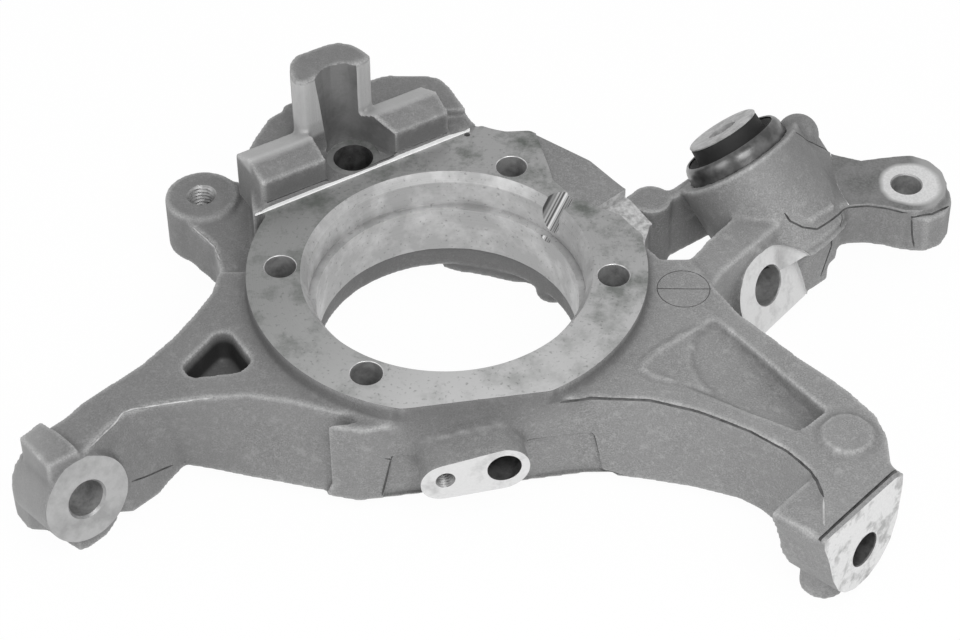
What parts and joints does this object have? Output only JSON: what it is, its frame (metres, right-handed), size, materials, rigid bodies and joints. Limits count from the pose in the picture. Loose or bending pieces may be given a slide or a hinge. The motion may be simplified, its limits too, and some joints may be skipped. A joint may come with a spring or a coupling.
{
  "type": "steering knuckle",
  "caption": "Cast steering knuckle with a stepped hub bore, machined arm ends and a pressed-in bonded rubber bush.",
  "frame": {"origin": "hub axis where it meets the machined hub face", "axes": "+Z along the hub axis, out of the machined hub face; +X towards the arm that carries the bush; +Y towards the two pads and the post"},
  "size_m": [0.3724, 0.2516, 0.0945],
  "materials": {
    "casting": "as cast, shot blasted; bores and faces machined",
    "sleeve": "turned, bright",
    "rubber": "moulded, matte",
    "inner": "pressed, matte"
  },
  "bodies": {
    "root": {"knuckle_casting": "casting", "bush_outer_sleeve": "sleeve", "bush_rubber": "rubber", "bush_inner_sleeve": "inner"}
  },
  "joints": []
}
